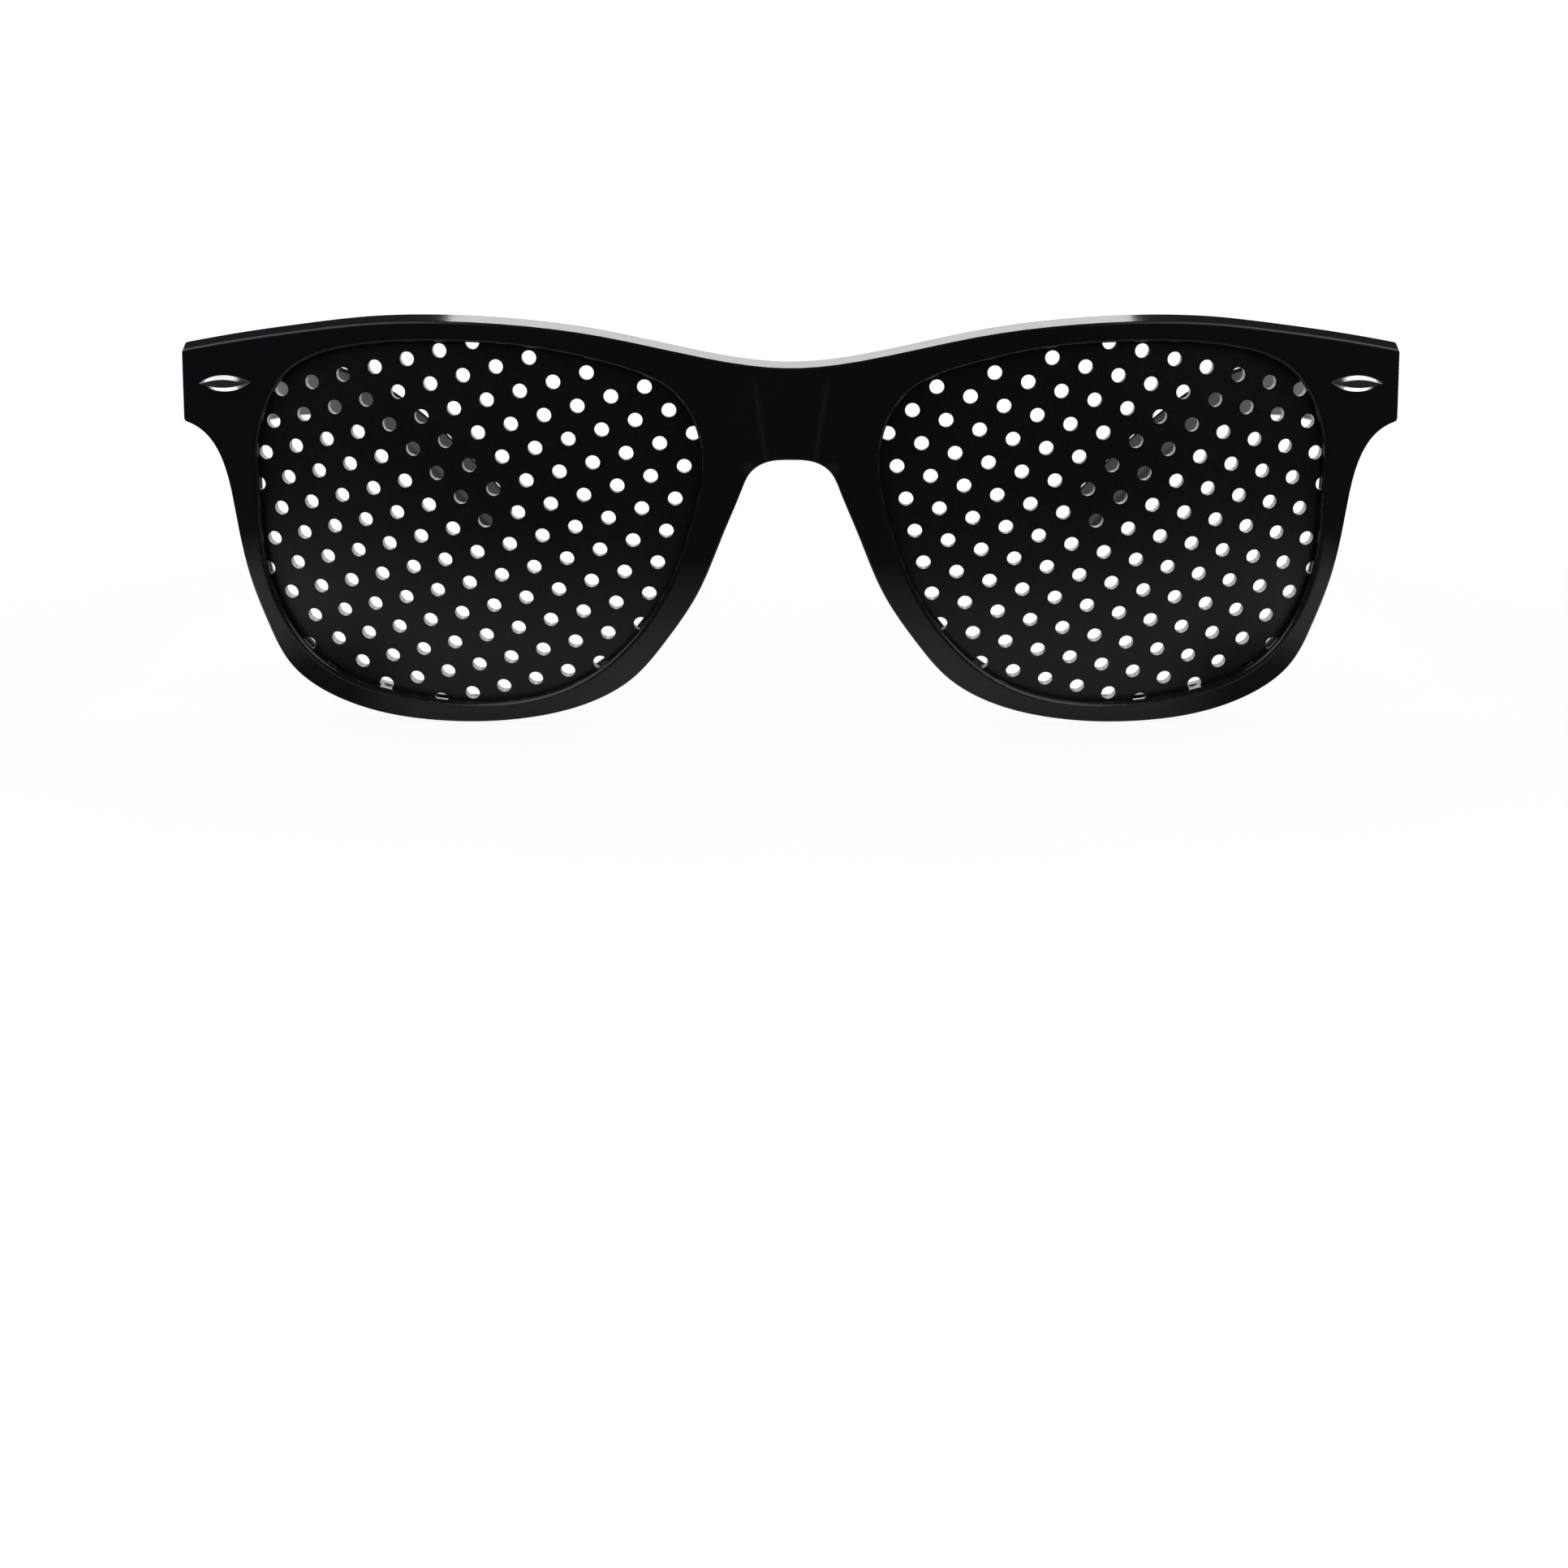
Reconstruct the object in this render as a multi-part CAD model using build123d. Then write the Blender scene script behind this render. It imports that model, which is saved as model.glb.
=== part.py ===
from build123d import *
import os
from math import asin, cos, degrees, hypot, radians, sin, sqrt

# Pinhole glasses: a moulded full-rim front, two perforated sheets in place of lenses,
# and two folding temples on three-barrel metal hinges.
# All lengths are millimetres. The front is built in its own mould frame (X sideways,
# Y backward along the mould's draw, Z up, lens centre level at zero). It is tilted
# into the wearing frame, in which the temples run level along Y, and the whole pair is
# finally laid down on its rims and temple tips. Pieces are drawn once, on the +X side,
# which is the wearer's left, and mirrored.

# Overall sizes of the front
half_width = 73.45
rim_bottom = 26.15
nose_arch_height = 9.0
bridge_top = 20.05
corner_radius = 0.5

# Sphere that both perforated sheets are pressed to
lens_curve_radius = 140.0
lens_curve_offset = 15.3
lens_centre_x = 36.5
lens_thickness = 1.0
front_lip = 1.2
rear_lip = 0.9
lens_engagement = 0.7
groove_clearance = 0.04

# Pinhole pattern: two row directions, one pitch
hole_front_diameter = 1.74
hole_rear_diameter = 1.98
hole_pitch = 4.185
hole_row_angle = 17.1
hole_second_row_angle = 75.0
hole_origin_inward = -0.11
hole_origin_up = 0.59
hole_centre_beyond_aperture = 0.3

# Edges of the front
outer_edge_radius = 0.25
rear_edge_radius = 0.25
aperture_edge_radius = 0.6

# Tilt of the front against the temples
front_tilt = 17.7

# End pieces, which carry the hinges
hinge_height = 17.0
end_piece_width = 8.5
end_piece_height = 9.1
end_piece_depth = 12.2
end_piece_edge_radius = 0.8

# Moulded nose pads: round-ended at the root on the rim, drawn in and leaned outward to the end
pad_root_length = 15.4
pad_root_width = 3.4
pad_end_length = 11.2
pad_end_width = 2.6
pad_depth = 5.6
pad_end_outward = 0.5
pad_end_radius = 1.0
pad_centre_x = 11.1
pad_centre_z = -2.6
pad_lean = 21.0

# Temples, measured from the butt face
temple_length = 131.0
temple_butt_height = 8.8
temple_thickness = 3.4
temple_tip_thickness = 2.6
temple_drop = 22.8
temple_inset = 31.5
temple_straight = 8.0
temple_edge_radius = 0.7
butt_gap = 0.06

# Hinges
barrel_radius = 1.25
barrel_length = 4.6
barrel_gap = 0.07
barrel_clearance = 0.1
hinge_inset = 1.6
leaf_thickness = 0.9
front_leaf_width = 4.0
temple_leaf_length = 9.0
temple_leaf_lead = 0.5
pocket_clearance = 0.03
screw_radius = 0.6
screw_running_clearance = 0.05
screw_head_radius = 1.15
screw_head_height = 0.7
screw_tail = 0.5
screw_slot_width = 0.3
screw_slot_depth = 0.35

# Studs: almond heads on two posts
stud_length = 6.9
stud_width = 1.95
stud_face_length = 6.0
stud_face_width = 1.0
stud_rise = 0.55
stud_bevel_rise = 0.36
stud_seat_depth = 0.35
stud_seat_clearance = 0.03
stud_from_edge = 5.35
stud_post_radius = 0.5
stud_post_spacing = 3.3
stud_pin_length = 2.6
post_clearance = 0.02
temple_stud_distance = 5.6

# How far cutting tools run past what they cut
overrun = 2.0

# Outlines in the mould frame, from the middle of the bridge outwards. Each point is a
# share of half_width sideways and of rim_bottom upward.
top_edge_shares = [
    (0.150, 0.819), (0.309, 0.909), (0.449, 0.948), (0.572, 0.949),
    (0.681, 0.922), (0.790, 0.864), (0.885, 0.801), (1.0, 0.707),
]
rim_edge_shares = [
    (0.040, 0.332), (0.0632, 0.290), (0.0810, 0.190), (0.1055, 0.020), (0.151, -0.297),
    (0.206, -0.545), (0.260, -0.732), (0.342, -0.877), (0.437, -0.958), (0.587, -1.0),
    (0.752, -0.930), (0.833, -0.780), (0.869, -0.580), (0.896, -0.355), (0.918, -0.020),
    (0.930, 0.160), (0.957, 0.312), (1.0, 0.374),
]
aperture_shares = [
    (0.875, 0.190), (0.859, 0.469), (0.811, 0.677), (0.715, 0.799), (0.572, 0.853), (0.408, 0.841),
    (0.283, 0.771), (0.188, 0.646), (0.146, 0.402), (0.161, 0.050), (0.202, -0.268),
    (0.266, -0.551), (0.367, -0.785), (0.513, -0.893), (0.655, -0.870), (0.763, -0.770),
    (0.841, -0.505), (0.871, -0.163),
]

# Side view of a temple. Each point is a share of temple_length backward, then of half
# the butt height (upper edge and lower edge) down to the bend, and of the drop after it.
temple_top_shares = [(0.0, 1.0), (0.31, 0.82), (0.60, 0.46)]
temple_bottom_shares = [(0.0, -1.0), (0.36, -1.04), (0.56, -0.97)]
hook_top_shares = [(0.715, -0.030), (0.84, -0.287), (0.975, -0.70)]
hook_bottom_shares = [(0.68, -0.265), (0.80, -0.51), (0.945, -0.955)]

front_radius = lens_curve_radius + front_lip
rear_radius = lens_curve_radius - lens_thickness - rear_lip
sheet_rear_radius = lens_curve_radius - lens_thickness
curve_centre_y = sqrt(lens_curve_radius**2 - (lens_centre_x - lens_curve_offset) ** 2)
lens_sweep = degrees(asin((lens_centre_x - lens_curve_offset) / lens_curve_radius))
hinge_x = half_width - temple_thickness - hinge_inset
hinge_y = end_piece_depth + barrel_clearance + barrel_radius
butt_y = end_piece_depth + butt_gap
knuckle_length = (barrel_length - 2 * barrel_gap) / 3
bore_radius = screw_radius + screw_running_clearance
temple_inner_x = half_width - temple_thickness
reach = 2 * half_width
inner_post_x = half_width - stud_from_edge - stud_post_spacing / 2
outer_post_x = half_width - stud_from_edge + stud_post_spacing / 2
wearing_tilt = Rot(X=front_tilt)


def share_points(shares):
    return [(half_width * across, rim_bottom * up) for across, up in shares]


def both_sides(points, middle):
    left = [(-across, up) for across, up in reversed(points)]
    return left + [middle] + points


def mirrored(shape):
    return mirror(shape, about=Plane.YZ)


def block(x_span, y_span, z_span):
    """A box given by its lowest and highest value along each axis."""
    size = [high - low for low, high in (x_span, y_span, z_span)]
    middle = [(high + low) / 2 for low, high in (x_span, y_span, z_span)]
    return Pos(*middle) * Box(*size)


def post(radius, start, end, x, z):
    """A round bar along Y."""
    return Pos(x, (start + end) / 2, z) * Rot(X=90) * Cylinder(radius, end - start)


def draw_prism(face):
    """A face drawn in X and Z, drawn out along the mould direction."""
    depth = lens_curve_radius / 2
    return Pos(0, -depth / 4, 0) * extrude(Plane.XZ * face, amount=depth, dir=(0, 1, 0))


# The front

def curve_ball(radius, side=1):
    return Pos(side * lens_curve_offset, curve_centre_y, 0) * Sphere(radius)


def curve_roller(radius):
    roller = Cylinder(radius, 2 * lens_curve_offset)
    return Pos(0, curve_centre_y, 0) * Rot(Y=90) * roller


def front_outline():
    top_points = share_points(top_edge_shares)
    rim_points = share_points(rim_edge_shares)
    top_corner = top_points[-1]
    bottom_corner = rim_points[-1]
    top = Spline(both_sides(top_points, (0, bridge_top)))
    rim = Spline(both_sides(rim_points, (0, nose_arch_height)))
    right = Line(top_corner, bottom_corner)
    left = Line((-top_corner[0], top_corner[1]), (-bottom_corner[0], bottom_corner[1]))
    face = make_face([top, rim, right, left])
    return fillet(face.vertices(), corner_radius)


def aperture_outline(margin=0):
    """The opening of one rim, or the same curve moved outward by a margin."""
    curve = Spline(share_points(aperture_shares), periodic=True)
    if margin == 0:
        return make_face(curve)
    count = 2 * len(aperture_shares)
    moved = []
    for n in range(count):
        along = curve % (n / count)
        moved.append(curve @ (n / count) + Vector(along.Y, -along.X) * margin)
    return make_face(Spline(moved, periodic=True))


def curved_plate(prism):
    """The prism cut to the front's curve: a roller across the nose, a ball each side."""
    nose_zone = Box(2 * lens_curve_offset, reach, reach)
    plate = (prism & nose_zone & curve_roller(front_radius)) - curve_roller(rear_radius)
    for side in (1, -1):
        side_zone = Pos(side * (lens_curve_offset + reach / 2), 0, 0) * Box(reach, reach, reach)
        outer = prism & side_zone & curve_ball(front_radius, side)
        plate = plate + (outer - curve_ball(rear_radius, side))
    return plate


def surface_distance(point):
    """Distance of a point from the centre or axis that the front's curve turns about."""
    beyond = max(abs(point.X) - lens_curve_offset, 0)
    return sqrt(beyond**2 + (point.Y - curve_centre_y) ** 2 + point.Z**2)


def edges_on_curve(plate, radius):
    tolerance = groove_clearance / 4
    chosen = []
    for edge in plate.edges():
        runs_across = edge.bounding_box().size.X > tolerance
        if runs_across and abs(surface_distance(edge @ 0.5) - radius) < tolerance:
            chosen.append(edge)
    return chosen


def lens_space(margin, grow):
    """The room that a perforated sheet fills, widened at its edge and on both faces."""
    outline = aperture_outline(margin)
    shell = curve_ball(lens_curve_radius + grow) - curve_ball(sheet_rear_radius - grow)
    return draw_prism(outline) & shell


def end_piece():
    """The block behind the outer end of the rim, squared to the temple."""
    x_span = (half_width - end_piece_width, half_width)
    z_span = (hinge_height - end_piece_height / 2, hinge_height + end_piece_height / 2)
    bar = block(x_span, (-end_piece_depth, end_piece_depth), z_span)
    long_edges = bar.edges().filter_by(Axis.Y)
    bar = fillet(long_edges, end_piece_edge_radius)
    level_ball = wearing_tilt * curve_ball(lens_curve_radius)
    return wearing_tilt.inverse() * (bar & level_ball)


def nose_pad():
    """A rounded pad moulded on the rim beside the nose, reaching back from its rear face."""
    root = Rot(Z=90) * SlotOverall(pad_root_length, pad_root_width)
    end = Rot(Z=90) * SlotOverall(pad_end_length, pad_end_width)
    body = loft([root, Pos(pad_end_outward, 0, -pad_depth) * end])
    body = fillet(body.faces().sort_by(Axis.Z)[0].edges(), pad_end_radius)
    upright = Plane.XZ * (Rot(Z=pad_lean) * body)
    return Pos(pad_centre_x, 0, pad_centre_z) * upright


def hinge_pocket():
    """Room for the front hinge leaf, sunk in the end piece's rear face."""
    grow = pocket_clearance
    low_x = hinge_x + barrel_radius - front_leaf_width - grow
    half_height = barrel_length / 2 + grow
    return block(
        (low_x, low_x + front_leaf_width + 2 * grow),
        (end_piece_depth - leaf_thickness - grow, end_piece_depth + overrun),
        (hinge_height - half_height, hinge_height + half_height),
    )


def front_frame():
    plate = curved_plate(draw_prism(front_outline()))
    plate = fillet(edges_on_curve(plate, front_radius), outer_edge_radius)
    plate = fillet(edges_on_curve(plate, rear_radius), rear_edge_radius)
    aperture = draw_prism(aperture_outline())
    openings = [aperture, mirrored(aperture)]
    plate = plate - openings
    front_edges = edges_on_curve(plate, front_radius)
    lip_edges = [edge for edge in front_edges if edge.length > lens_centre_x]
    plate = fillet(lip_edges, aperture_edge_radius)
    additions = end_piece() + nose_pad()
    additions = additions - aperture
    plate = plate + additions + mirrored(additions)
    groove = lens_space(lens_engagement + groove_clearance, groove_clearance)
    level_cuts = hinge_pocket() + stud_cuts()
    cuts = groove + wearing_tilt.inverse() * level_cuts
    return plate - cuts - mirrored(cuts)


def surface_y(x, z):
    """Depth of the front's outer surface at a place of the wearing frame."""
    centre_y = curve_centre_y * cos(radians(front_tilt))
    centre_z = curve_centre_y * sin(radians(front_tilt))
    inside = front_radius**2 - (x - lens_curve_offset) ** 2 - (z - centre_z) ** 2
    return centre_y - sqrt(inside)


def post_bore(start, end, x):
    return post(stud_post_radius + post_clearance, start, end, x, hinge_height)


def stud_cuts():
    """The seat of the front stud's head and the bores of its post and pin."""
    seat = stud_plane() * extrude(
        Pos(0, 0, -stud_seat_depth) * almond(
            stud_length + 2 * stud_seat_clearance, stud_width + 2 * stud_seat_clearance
        ),
        amount=stud_seat_depth + overrun,
    )
    through = post_bore(surface_y(inner_post_x, hinge_height), end_piece_depth, inner_post_x)
    pin_top = surface_y(outer_post_x, hinge_height)
    blind = post_bore(pin_top, pin_top + stud_pin_length + post_clearance, outer_post_x)
    return seat + through + blind


# Perforated sheets

def inside(point, polygon):
    """Whether a point lies in a closed row of points, by counting crossings."""
    x, z = point
    crossings = 0
    for (x1, z1), (x2, z2) in zip(polygon, polygon[1:] + polygon[:1]):
        if (z1 > z) != (z2 > z) and x < x1 + (z - z1) / (z2 - z1) * (x2 - x1):
            crossings += 1
    return crossings % 2 == 1


def hole_direction(inward, up):
    """Unit vector from the sphere's centre to a hole laid off along the lens surface."""
    distance = hypot(inward, up)
    turn = distance / lens_curve_radius
    sweep = radians(lens_sweep)
    middle = Vector(sin(sweep), -cos(sweep), 0)
    if distance == 0:
        return middle
    aside = (Vector(-cos(sweep), -sin(sweep), 0) * inward + Vector(0, 0, 1) * up) / distance
    return middle * cos(turn) + aside * sin(turn)


def hole_directions():
    """Every hole whose centre lies in the aperture or just behind its edge."""
    border = aperture_outline(hole_centre_beyond_aperture).wire()
    samples = 300
    polygon = [(p.X, p.Y) for p in border.positions([n / samples for n in range(samples)])]
    first = (cos(radians(hole_row_angle)), sin(radians(hole_row_angle)))
    second = (cos(radians(hole_second_row_angle)), sin(radians(hole_second_row_angle)))
    rows = int(2 * lens_centre_x / hole_pitch)
    chosen = []
    for m in range(-rows, rows + 1):
        for n in range(-rows, rows + 1):
            inward = hole_origin_inward + hole_pitch * (m * first[0] + n * second[0])
            up = hole_origin_up + hole_pitch * (m * first[1] + n * second[1])
            if hypot(inward, up) > lens_centre_x:
                continue
            direction = hole_direction(inward, up)
            x = lens_curve_offset + lens_curve_radius * direction.X
            z = lens_curve_radius * direction.Z
            if inside((x, z), polygon):
                chosen.append(direction)
    return chosen


def pinhole(direction):
    """One tapered hole, wider at the rear, square to the sheet."""
    middle_radius = (hole_front_diameter + hole_rear_diameter) / 4
    flare = (hole_rear_diameter - hole_front_diameter) / 2
    centre = Vector(lens_curve_offset, curve_centre_y, 0)
    origin = centre + direction * (lens_curve_radius - lens_thickness / 2)
    run = 2 * lens_thickness
    cone = Cone(middle_radius - flare, middle_radius + flare, run)
    return Plane(origin=origin, z_dir=-direction) * cone


def pinhole_lens():
    directions = hole_directions()
    print("holes in a sheet", len(directions))
    return lens_space(lens_engagement, 0) - [pinhole(direction) for direction in directions]


# Temples

def temple_side():
    """Side view of a temple, from the middle of its butt."""
    half = temple_butt_height / 2
    top = [(temple_length * along, half * up) for along, up in temple_top_shares]
    top += [(temple_length * along, temple_drop * up) for along, up in hook_top_shares]
    bottom = [(temple_length * along, half * up) for along, up in temple_bottom_shares]
    bottom += [(temple_length * along, temple_drop * up) for along, up in hook_bottom_shares]
    upper_end = Vector(*top[-1])
    lower_end = Vector(*bottom[-1])
    across = upper_end - lower_end
    tip = (upper_end + lower_end) / 2 + Vector(across.Y, -across.X) / 2
    return make_face([
        Spline(top),
        ThreePointArc(upper_end, tip, lower_end),
        Spline(bottom),
        Line(top[0], bottom[0]),
    ])


def temple_plan():
    """Plan view of a temple: straight along the hinge leaf, then one long arc inward."""
    thinning = (temple_thickness - temple_tip_thickness) / 2
    outer_end = (half_width - thinning - temple_inset, temple_length + overrun)
    inner_end = (temple_inner_x + thinning - temple_inset, temple_length + overrun)
    outer_bend = (half_width, temple_straight)
    inner_bend = (temple_inner_x, temple_straight)
    return make_face([
        Line((half_width, 0), outer_bend),
        TangentArc(outer_bend, outer_end, tangent=(0, 1)),
        Line(outer_end, inner_end),
        TangentArc(inner_bend, inner_end, tangent=(0, 1)),
        Line(inner_bend, (temple_inner_x, 0)),
        Line((temple_inner_x, 0), (half_width, 0)),
    ])


def leaf_pocket():
    grow = pocket_clearance
    start = hinge_y - temple_leaf_lead - grow
    return block(
        (temple_inner_x - overrun, temple_inner_x + leaf_thickness + grow),
        (start, start + temple_leaf_length + 2 * grow),
        (hinge_height - barrel_length / 2 - grow, hinge_height + barrel_length / 2 + grow),
    )


def temple():
    side = extrude(Plane.YZ * temple_side(), amount=reach)
    plan = Pos(0, 0, -reach / 2) * extrude(temple_plan(), amount=reach)
    bar = Pos(0, butt_y, hinge_height) * side & Pos(0, butt_y, 0) * plan
    long_edges = [edge for edge in bar.edges() if (edge @ 0.5).Y > butt_y + temple_edge_radius]
    bar = fillet(long_edges, temple_edge_radius)
    return bar - leaf_pocket() - temple_stud_cuts()


# Studs

def almond(length, width):
    """A pointed oval of two arcs."""
    left = (-length / 2, 0)
    right = (length / 2, 0)
    upper = ThreePointArc(left, (0, width / 2), right)
    lower = ThreePointArc(left, (0, -width / 2), right)
    return make_face([upper, lower])


def stud_head():
    """An almond head with bevelled sides and a flat face, standing on Z."""
    base = Pos(0, 0, -stud_seat_depth) * almond(stud_length, stud_width)
    shoulder = Pos(0, 0, stud_rise - stud_bevel_rise) * almond(stud_length, stud_width)
    face = Pos(0, 0, stud_rise) * almond(stud_face_length, stud_face_width)
    return extrude(base, amount=stud_seat_depth + stud_rise - stud_bevel_rise) + loft([shoulder, face])


def stud_plane():
    """The front surface under the front stud, its long side level."""
    x = half_width - stud_from_edge
    point = Vector(x, surface_y(x, hinge_height), hinge_height)
    centre_y = curve_centre_y * cos(radians(front_tilt))
    centre_z = curve_centre_y * sin(radians(front_tilt))
    normal = (point - Vector(lens_curve_offset, centre_y, centre_z)).normalized()
    level = normal.cross(Vector(0, 0, 1)).normalized()
    return Plane(origin=point, x_dir=level, z_dir=normal)


def front_stud():
    head = stud_plane() * stud_head()
    long_post = post(
        stud_post_radius, surface_y(inner_post_x, hinge_height), end_piece_depth,
        inner_post_x, hinge_height,
    )
    pin_top = surface_y(outer_post_x, hinge_height)
    pin = post(stud_post_radius, pin_top, pin_top + stud_pin_length, outer_post_x, hinge_height)
    return head + long_post + pin


def temple_post(radius, y):
    run = temple_thickness - stud_seat_depth / 2
    return Pos(temple_inner_x + run / 2, y, hinge_height) * Rot(Y=90) * Cylinder(radius, run)


def temple_stud_plane():
    middle = hinge_y + temple_stud_distance
    return Plane(origin=(half_width, middle, hinge_height), x_dir=(0, 1, 0), z_dir=(1, 0, 0))


def temple_stud_posts(radius):
    middle = hinge_y + temple_stud_distance
    posts = [temple_post(radius, middle + side * stud_post_spacing / 2) for side in (-1, 1)]
    return posts[0] + posts[1]


def temple_stud():
    return temple_stud_plane() * stud_head() + temple_stud_posts(stud_post_radius)


def temple_stud_cuts():
    grow = 2 * stud_seat_clearance
    seat = Pos(0, 0, -stud_seat_depth) * almond(stud_length + grow, stud_width + grow)
    room = temple_stud_plane() * extrude(seat, amount=stud_seat_depth + overrun)
    return room + temple_stud_posts(stud_post_radius + post_clearance)


# Hinges

def knuckle(bottom, radius, bore):
    """One barrel, and its bore, from a height above the lowest end of the hinge."""
    low = hinge_height - barrel_length / 2 + bottom
    middle = low + knuckle_length / 2
    ring = Cylinder(radius, knuckle_length) - Cylinder(bore, knuckle_length)
    return Pos(hinge_x, hinge_y, middle) * ring, (low, low + knuckle_length)


def front_hinge_leaf():
    low_x = hinge_x + barrel_radius - front_leaf_width
    half = barrel_length / 2
    plate = block(
        (low_x, low_x + front_leaf_width),
        (end_piece_depth - leaf_thickness, end_piece_depth),
        (hinge_height - half, hinge_height + half),
    )
    leaf = plate - post_bore(end_piece_depth - overrun, end_piece_depth + overrun, inner_post_x)
    bores = (screw_radius + post_clearance / 2, bore_radius)
    for bottom, bore in zip((0, 2 * (knuckle_length + barrel_gap)), bores):
        ring, z_span = knuckle(bottom, barrel_radius, bore)
        x_span = (hinge_x - barrel_radius, hinge_x + barrel_radius - pocket_clearance)
        web = block(x_span, (end_piece_depth - leaf_thickness / 2, hinge_y), z_span)
        screw_room = Pos(hinge_x, hinge_y, hinge_height) * Cylinder(bore, barrel_length)
        leaf = leaf + ((web - screw_room) + ring)
    return leaf


def temple_hinge_leaf():
    half = barrel_length / 2
    start = hinge_y - temple_leaf_lead
    x_span = (temple_inner_x, temple_inner_x + leaf_thickness)
    plate = block(x_span, (start, start + temple_leaf_length), (hinge_height - half, hinge_height + half))
    plate = plate - temple_stud_posts(stud_post_radius + post_clearance)
    ring, z_span = knuckle(knuckle_length + barrel_gap, barrel_radius, bore_radius)
    web = block((hinge_x, x_span[1]), (start, hinge_y + barrel_radius), z_span)
    screw_room = Pos(hinge_x, hinge_y, hinge_height) * Cylinder(bore_radius, barrel_length)
    return plate + ((web - screw_room) + ring)


def hinge_screw():
    half = barrel_length / 2
    shank_length = barrel_length + screw_tail
    shank = Pos(0, 0, half - shank_length / 2) * Cylinder(screw_radius, shank_length)
    head = Pos(0, 0, half + screw_head_height / 2) * Cylinder(screw_head_radius, screw_head_height)
    head = fillet(head.edges().sort_by(Axis.Z)[-1], screw_slot_depth / 2)
    slot = Pos(0, 0, half + screw_head_height) * Box(
        2 * screw_head_radius + overrun, screw_slot_width, 2 * screw_slot_depth
    )
    return Pos(hinge_x, hinge_y, hinge_height) * (shank + head - slot)


# Resting pose

def lowest(shape, angle):
    return (Rot(X=-angle) * shape).bounding_box().min.Z


def resting_angle(front, side_piece):
    """The turn that brings the temple tips down to the level of the rims."""
    low = 0
    high = 2 * front_tilt
    for step in range(16):
        middle = (low + high) / 2
        if lowest(front, middle) < lowest(side_piece, middle):
            low = middle
        else:
            high = middle
    return (low + high) / 2


def main():
    os.makedirs("parts", exist_ok=True)
    front = wearing_tilt * front_frame()
    pieces = {
        "pinhole_lens": wearing_tilt * pinhole_lens(),
        "temple": temple(),
        "front_stud": front_stud(),
        "temple_stud": temple_stud(),
        "front_hinge_leaf": front_hinge_leaf(),
        "temple_hinge_leaf": temple_hinge_leaf(),
        "hinge_screw": hinge_screw(),
    }
    angle = resting_angle(front, pieces["temple"])
    turn = Rot(X=-angle)
    front_box = (turn * front).bounding_box()
    temple_box = (turn * pieces["temple"]).bounding_box()
    middle_y = (front_box.min.Y + temple_box.max.Y) / 2
    place = Pos(0, -middle_y, -front_box.min.Z) * turn
    print("resting angle", round(angle, 3), "degrees")
    hinge = (place * Pos(hinge_x, hinge_y, hinge_height)).position
    print("left hinge axis passes through", [round(value, 4) for value in hinge])
    print("its direction", [0, round(sin(radians(angle)), 6), round(cos(radians(angle)), 6)])
    export_step(place * front, "parts/front_frame.step")
    for name, piece in pieces.items():
        export_step(place * piece, f"parts/{name}_left.step")
        export_step(place * mirrored(piece), f"parts/{name}_right.step")


main()
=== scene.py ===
import math

import bpy
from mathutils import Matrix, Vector

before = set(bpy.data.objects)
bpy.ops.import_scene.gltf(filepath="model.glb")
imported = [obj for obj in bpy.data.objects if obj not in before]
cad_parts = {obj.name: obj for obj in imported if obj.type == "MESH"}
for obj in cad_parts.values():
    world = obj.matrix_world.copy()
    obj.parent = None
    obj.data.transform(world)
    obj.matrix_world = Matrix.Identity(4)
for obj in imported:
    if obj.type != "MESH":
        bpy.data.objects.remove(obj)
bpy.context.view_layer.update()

# Places on the part, in metres. A pair is where something starts and where it ends.

sheet_centre = (0.0, 0.0690, 0.0479)
bridge_front_y = (-0.0600, -0.0590)
crease_foot_x = 0.00285
crease_foot_z = 0.0336
crease_lean = 0.148
crease_edge = (0.00005, 0.00045)
crease_fade_in = (-0.0006, 0.0006)
crease_fade_out = (0.0092, 0.0102)
arch_shoulder = (0.0050, 0.0, 0.0329)
arch_shoulder_edge = (0.0004, 0.0010)

# Colours: darker and paler tone of each finish

front_tones = ((0.0128, 0.0125, 0.0172), (0.0152, 0.0148, 0.0200))
temple_tones = ((0.0060, 0.0058, 0.0078), (0.0078, 0.0076, 0.0098))
sheet_tones = ((0.0074, 0.0070, 0.0105), (0.0172, 0.0164, 0.0222))
# Painted reflection: the pale tone of the pinhole walls stands in for the white paper they mirror.
hole_wall_painted_reflection = (0.90, 0.90, 0.88)
# Painted highlight: a paler tone along the bridge creases and the nose-arch shoulders, where these facets
# catch the light.
crease_highlight_tone = (0.046, 0.046, 0.052)
silver_tones = ((0.95, 0.95, 0.94), (0.84, 0.83, 0.81))
nickel_tones = ((0.62, 0.60, 0.57), (0.45, 0.43, 0.40))
steel_tones = ((0.58, 0.58, 0.58), (0.40, 0.40, 0.41))


# Shader helpers

def new_material(name):
    material = bpy.data.materials.new(name)
    material.use_nodes = True
    nodes = material.node_tree.nodes
    shader = nodes["Principled BSDF"]
    return material, nodes, material.node_tree.links, shader


def coordinates(nodes):
    return nodes.new("ShaderNodeTexCoord").outputs["Object"]


def noise(nodes, links, vector, scale, detail=2.0, roughness=0.5, stretch=None):
    texture = nodes.new("ShaderNodeTexNoise")
    texture.inputs["Scale"].default_value = scale
    texture.inputs["Detail"].default_value = detail
    texture.inputs["Roughness"].default_value = roughness
    if stretch:
        mapping = nodes.new("ShaderNodeMapping")
        mapping.inputs["Scale"].default_value = stretch
        links.new(vector, mapping.inputs["Vector"])
        vector = mapping.outputs["Vector"]
    links.new(vector, texture.inputs["Vector"])
    return texture.outputs["Fac"]


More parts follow.
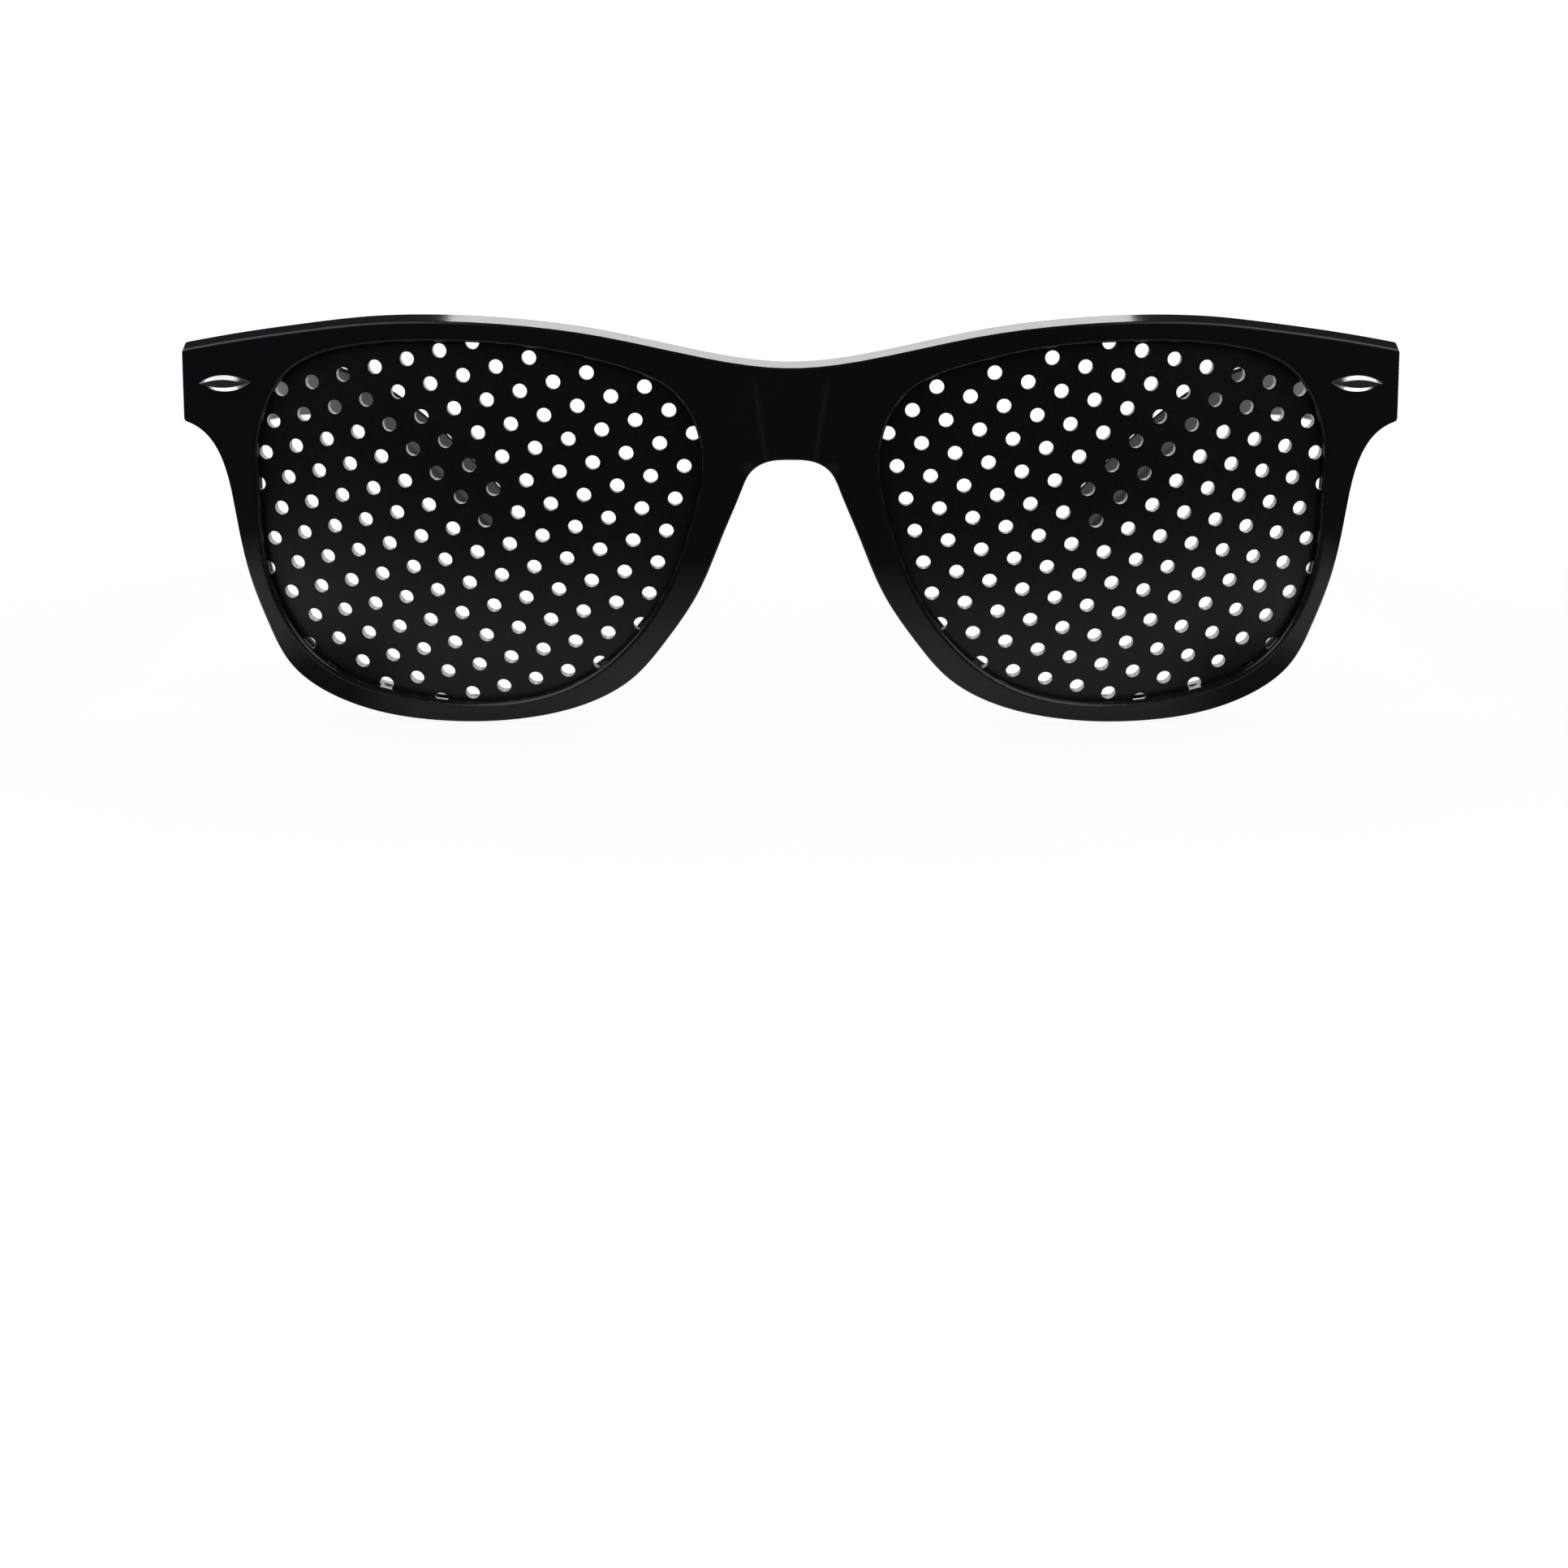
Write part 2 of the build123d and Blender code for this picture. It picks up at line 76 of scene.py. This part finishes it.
def remap(nodes, links, value, ends, to_low, to_high):
    node = nodes.new("ShaderNodeMapRange")
    node.inputs["From Min"].default_value = ends[0]
    node.inputs["From Max"].default_value = ends[1]
    node.inputs["To Min"].default_value = to_low
    node.inputs["To Max"].default_value = to_high
    links.new(value, node.inputs["Value"])
    return node.outputs["Result"]


def mix_colour(nodes, links, factor, first, second):
    node = nodes.new("ShaderNodeMix")
    node.data_type = "RGBA"
    links.new(factor, node.inputs["Factor"])
    for socket, colour in ((node.inputs["A"], first), (node.inputs["B"], second)):
        if isinstance(colour, tuple):
            socket.default_value = (*colour, 1.0)
        else:
            links.new(colour, socket)
    return node.outputs["Result"]


def bump(nodes, links, height, strength, distance, normal=None):
    node = nodes.new("ShaderNodeBump")
    node.inputs["Strength"].default_value = strength
    node.inputs["Distance"].default_value = distance
    links.new(height, node.inputs["Height"])
    if normal is not None:
        links.new(normal, node.inputs["Normal"])
    return node.outputs["Normal"]


def calculate(nodes, links, operation, *values):
    node = nodes.new("ShaderNodeMath")
    node.operation = operation
    for socket, value in zip(node.inputs, values):
        if isinstance(value, (int, float)):
            socket.default_value = value
        else:
            links.new(value, socket)
    return node.outputs["Value"]


def combine_vectors(nodes, links, operation, *values):
    """The vector, or for a distance, a length and a dot product the number."""
    node = nodes.new("ShaderNodeVectorMath")
    node.operation = operation
    for socket, value in zip(node.inputs, values):
        if isinstance(value, tuple):
            socket.default_value = value
        else:
            links.new(value, socket)
    gives_number = operation in ("DISTANCE", "LENGTH", "DOT_PRODUCT")
    return node.outputs["Value" if gives_number else "Vector"]


def separate(nodes, links, vector):
    node = nodes.new("ShaderNodeSeparateXYZ")
    links.new(vector, node.inputs[0])
    return node.outputs


def distance_to(nodes, links, point, **axes):
    """Distance of the place with these axes, the others at nought, from a point."""
    node = nodes.new("ShaderNodeCombineXYZ")
    for axis, value in axes.items():
        links.new(value, node.inputs[axis])
    return combine_vectors(nodes, links, "DISTANCE", node.outputs[0], point)


# Finishes

def bridge_creases(nodes, links, vector):
    """One at the two moulded creases that run up the front of the bridge and at the corners
    of the nose arch, nought elsewhere."""
    place = separate(nodes, links, vector)
    aside = calculate(nodes, links, "ABSOLUTE", place["X"])
    rise = calculate(nodes, links, "SUBTRACT", place["Z"], crease_foot_z)
    crease = calculate(nodes, links, "MULTIPLY_ADD", rise, crease_lean, crease_foot_x)
    off = calculate(nodes, links, "ABSOLUTE", calculate(nodes, links, "SUBTRACT", aside, crease))
    line = remap(nodes, links, off, crease_edge, 1.0, 0.0)
    lower = remap(nodes, links, rise, crease_fade_in, 0.0, 1.0)
    upper = remap(nodes, links, rise, crease_fade_out, 1.0, 0.0)
    front = remap(nodes, links, place["Y"], bridge_front_y, 1.0, 0.0)
    ends = calculate(nodes, links, "MULTIPLY", lower, upper)
    creases = calculate(nodes, links, "MULTIPLY", line, ends)
    corner = distance_to(nodes, links, arch_shoulder, X=aside, Z=place["Z"])
    shoulder = remap(nodes, links, corner, arch_shoulder_edge, 1.0, 0.0)
    both = calculate(nodes, links, "MAXIMUM", creases, shoulder)
    return calculate(nodes, links, "MULTIPLY", both, front)


def black_plastic(name, tones, gloss, creased=False):
    """Polished moulded polycarbonate: faint flow waves, fine dust specks and hairline scuffs."""
    material, nodes, links, shader = new_material(name)
    vector = coordinates(nodes)
    flow = noise(nodes, links, vector, 55.0, 2.0)
    speck = noise(nodes, links, vector, 2600.0, 3.0, 0.6)
    scuff = noise(nodes, links, vector, 420.0, 4.0, 0.7, (1.0, 9.0, 6.0))
    tint = remap(nodes, links, flow, (0.3, 0.7), 0.0, 1.0)
    plain = mix_colour(nodes, links, tint, *tones)
    rough = remap(nodes, links, scuff, (0.35, 0.75), gloss, gloss + 0.06)
    links.new(rough, shader.inputs["Roughness"])
    waves = bump(nodes, links, flow, 0.10, 0.0004)
    if creased:
        crease = bridge_creases(nodes, links, vector)
        # Painted highlight: the crease lines and arch shoulders are mixed halfway toward a paler tone,
        # where these facets catch the light.
        paler = calculate(nodes, links, "MULTIPLY", crease, 0.5)
        plain = mix_colour(nodes, links, paler, plain, crease_highlight_tone)
        waves = bump(nodes, links, crease, 0.5, 0.00004, waves)
    links.new(plain, shader.inputs["Base Color"])
    links.new(bump(nodes, links, speck, 0.05, 0.00002, waves), shader.inputs["Normal"])
    shader.inputs["IOR"].default_value = 1.58
    return material


def hole_walls(nodes, links):
    """One on the walls of the pinholes, nought on both faces of the sheet, which face toward
    or away from the centre that the sheets are curved about."""
    geometry = nodes.new("ShaderNodeNewGeometry")
    outward = combine_vectors(nodes, links, "SUBTRACT", geometry.outputs["Position"], sheet_centre)
    unit = combine_vectors(nodes, links, "NORMALIZE", outward)
    facing = combine_vectors(nodes, links, "DOT_PRODUCT", unit, geometry.outputs["True Normal"])
    return calculate(nodes, links, "LESS_THAN", calculate(nodes, links, "ABSOLUTE", facing), 0.5)


def satin_sheet(name, tones):
    """Pressed black sheet with a fine satin grain, and a painted pale reflection on the walls of its
    punched holes.
    """
    material, nodes, links, shader = new_material(name)
    vector = coordinates(nodes)
    cloud = noise(nodes, links, vector, 60.0, 3.0)
    grain = noise(nodes, links, vector, 4200.0, 3.0, 0.7)
    tint = remap(nodes, links, cloud, (0.3, 0.7), 0.0, 0.45)
    fleck = remap(nodes, links, grain, (0.35, 0.7), 0.0, 0.55)
    faces = mix_colour(nodes, links, calculate(nodes, links, "ADD", tint, fleck), *tones)
    # Painted reflection: the walls of the pinholes are coloured pale for the white paper they mirror.
    surface = mix_colour(nodes, links, hole_walls(nodes, links), faces, hole_wall_painted_reflection)
    links.new(surface, shader.inputs["Base Color"])
    links.new(remap(nodes, links, grain, (0.3, 0.7), 0.27, 0.42), shader.inputs["Roughness"])
    links.new(bump(nodes, links, grain, 0.35, 0.00004), shader.inputs["Normal"])
    shader.inputs["IOR"].default_value = 1.5
    return material


def bright_metal(name, tones, rough, stretch):
    """Polished plated metal with fine drag marks and faint tarnish."""
    material, nodes, links, shader = new_material(name)
    vector = coordinates(nodes)
    marks = noise(nodes, links, vector, 1500.0, 3.0, 0.6, stretch)
    tarnish = noise(nodes, links, vector, 380.0, 3.0)
    tint = remap(nodes, links, tarnish, (0.35, 0.7), 0.0, 1.0)
    links.new(mix_colour(nodes, links, tint, *tones), shader.inputs["Base Color"])
    shader.inputs["Metallic"].default_value = 1.0
    links.new(remap(nodes, links, marks, (0.3, 0.7), rough, rough + 0.1), shader.inputs["Roughness"])
    links.new(bump(nodes, links, marks, 0.08, 0.00002), shader.inputs["Normal"])
    return material


stud_silver = bright_metal("stud_polished_silver", silver_tones, 0.09, (1.0, 1.0, 7.0))
hinge_nickel = bright_metal("hinge_nickel", nickel_tones, 0.22, (1.0, 1.0, 6.0))

finishes = {
    "front_frame": black_plastic("front_black_gloss", front_tones, 0.07, creased=True),
    "pinhole_lens": satin_sheet("lens_black_satin", sheet_tones),
    "temple_hinge_leaf": hinge_nickel,
    "temple_stud": stud_silver,
    "temple": black_plastic("temple_black_gloss", temple_tones, 0.09),
    "front_stud": stud_silver,
    "front_hinge_leaf": hinge_nickel,
    "hinge_screw": bright_metal("screw_steel", steel_tones, 0.2, (6.0, 1.0, 1.0)),
}

for node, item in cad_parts.items():
    if not item.data.materials:
        item.data.materials.append(None)
    kind = node.removesuffix("_left").removesuffix("_right")
    for slot in item.material_slots:
        slot.material = finishes[kind]


# Floor, world and lamps. All reflections are of this studio: pale paper under the part,
# painted dark shade in front of it and beside it, and a bright wall high on both sides.

paper_front_y = (-0.104, -0.074)
paper_side_x = (0.088, 0.102)
rim_corner = (0.061, -0.060, 0.0)
# Painted shadow: the floor's colour in the gloss darkens within this distance of each rim corner.
rim_corner_shade = (0.005, 0.015)
# Painted shade: the dark colour of the floor in the gloss, in front of and beside the paper.
painted_dark_reflection = (0.03, 0.03, 0.033)
pale_card = (0.80, 0.79, 0.86)
shadow_reach = (0.13, 0.40)
wall_side = (0.29, 0.45)
wall_height = (0.12, 0.28)


def camera_or_rest(nodes, links, rest, camera, output):
    """What the camera sees, and what lights the part and shows in its gloss."""
    path = nodes.new("ShaderNodeLightPath")
    mix = nodes.new("ShaderNodeMixShader")
    links.new(path.outputs["Is Camera Ray"], mix.inputs["Fac"])
    links.new(rest.outputs[0], mix.inputs[1])
    links.new(camera.outputs[0], mix.inputs[2])
    links.new(mix.outputs[0], output.inputs["Surface"])


def floor_material():
    """White to the camera, with the part's shadow. Its gloss sees pale paper, which gives way to
    painted dark shade in front and beside, and a painted shadow under the lower corner of each rim."""
    material = bpy.data.materials.new("floor_white")
    material.use_nodes = True
    nodes = material.node_tree.nodes
    links = material.node_tree.links
    nodes.clear()
    output = nodes.new("ShaderNodeOutputMaterial")
    vector = coordinates(nodes)
    place = separate(nodes, links, vector)
    front = remap(nodes, links, place["Y"], paper_front_y, 0.0, 1.0)
    aside = calculate(nodes, links, "ABSOLUTE", place["X"])
    beside = remap(nodes, links, aside, paper_side_x, 1.0, 0.0)
    corner = distance_to(nodes, links, rim_corner, X=aside, Y=place["Y"])
    # Painted shadow under the lower corner of each rim, seen only in the gloss.
    shade = remap(nodes, links, corner, rim_corner_shade, 0.1, 1.0)
    paper_area = calculate(nodes, links, "MULTIPLY", front, beside)
    pale = calculate(nodes, links, "MULTIPLY", paper_area, shade)
    bounce = nodes.new("ShaderNodeBsdfDiffuse")
    links.new(mix_colour(nodes, links, pale, painted_dark_reflection, pale_card), bounce.inputs["Color"])
    paper = nodes.new("ShaderNodeBsdfDiffuse")
    paper.inputs["Color"].default_value = (0.90, 0.90, 0.90, 1.0)
    glow = nodes.new("ShaderNodeEmission")
    glow.inputs["Strength"].default_value = 1.08
    shown = nodes.new("ShaderNodeMixShader")
    away = combine_vectors(nodes, links, "LENGTH", vector)
    links.new(remap(nodes, links, away, shadow_reach, 0.86, 1.0), shown.inputs["Fac"])
    links.new(paper.outputs[0], shown.inputs[1])
    links.new(glow.outputs[0], shown.inputs[2])
    camera_or_rest(nodes, links, bounce, shown, output)
    return material


bpy.ops.mesh.primitive_circle_add(vertices=96, radius=6.0, fill_type="NGON", location=(0.0, 0.0, -0.0002))
floor = bpy.context.object
floor.name = "floor"
floor.data.materials.append(floor_material())


def light_world(world):
    """White to the camera. It lights the part from a bright wall high on both sides."""
    world.use_nodes = True
    nodes = world.node_tree.nodes
    links = world.node_tree.links
    nodes.clear()
    output = nodes.new("ShaderNodeOutputWorld")
    seen = nodes.new("ShaderNodeBackground")
    seen.inputs["Color"].default_value = (1.0, 1.0, 1.0, 1.0)
    seen.inputs["Strength"].default_value = 1.0
    direction = separate(nodes, links, nodes.new("ShaderNodeTexCoord").outputs["Generated"])
    sideways = calculate(nodes, links, "ABSOLUTE", direction["X"])
    beside = remap(nodes, links, sideways, wall_side, 0.0, 1.0)
    above = remap(nodes, links, direction["Z"], wall_height, 0.0, 1.0)
    wall = calculate(nodes, links, "MULTIPLY", beside, above)
    lighting = nodes.new("ShaderNodeBackground")
    tone = mix_colour(nodes, links, wall, (0.02, 0.02, 0.022), (1.0, 1.0, 1.0))
    links.new(tone, lighting.inputs["Color"])
    lighting.inputs["Strength"].default_value = 1.05
    camera_or_rest(nodes, links, lighting, seen, output)


studio = bpy.data.worlds.new("studio")
bpy.context.scene.world = studio
light_world(studio)


def softbox(name, place, target, width, height, power):
    data = bpy.data.lights.new(name, "AREA")
    data.shape = "RECTANGLE"
    data.size = width
    data.size_y = height
    data.energy = power
    lamp = bpy.data.objects.new(name, data)
    bpy.context.scene.collection.objects.link(lamp)
    lamp.location = place
    aim = Vector(target) - Vector(place)
    lamp.rotation_euler = aim.to_track_quat("-Z", "Y").to_euler()
    lamp.visible_camera = False


# One lamp high behind for the top edges, and two small ones on the floor for the studs
# and the outer sides of the rims.
softbox("back_light", (0.0, 1.1, 0.62), (0.0, -0.05, 0.02), 0.30, 0.5, 1.2)
for side in (-1, 1):
    card_x, card_y = side * 0.088, -0.054
    softbox("card_light", (card_x, card_y, 0.001), (card_x, card_y, 0.1), 0.026, 0.022, 0.0017)


# Camera

camera_data = bpy.data.cameras.new("camera")
camera_data.sensor_width = 36.0
camera_data.lens = 112.94
camera_data.clip_start = 0.01
camera_data.clip_end = 50.0
camera = bpy.data.objects.new("camera", camera_data)
bpy.context.scene.collection.objects.link(camera)
camera.location = (0.0, -0.6496, 0.1268)
camera.rotation_euler = (math.radians(90.0 - 12.893), 0.0, math.radians(0.078))
bpy.context.scene.camera = camera
bpy.context.scene.view_settings.view_transform = "Standard"
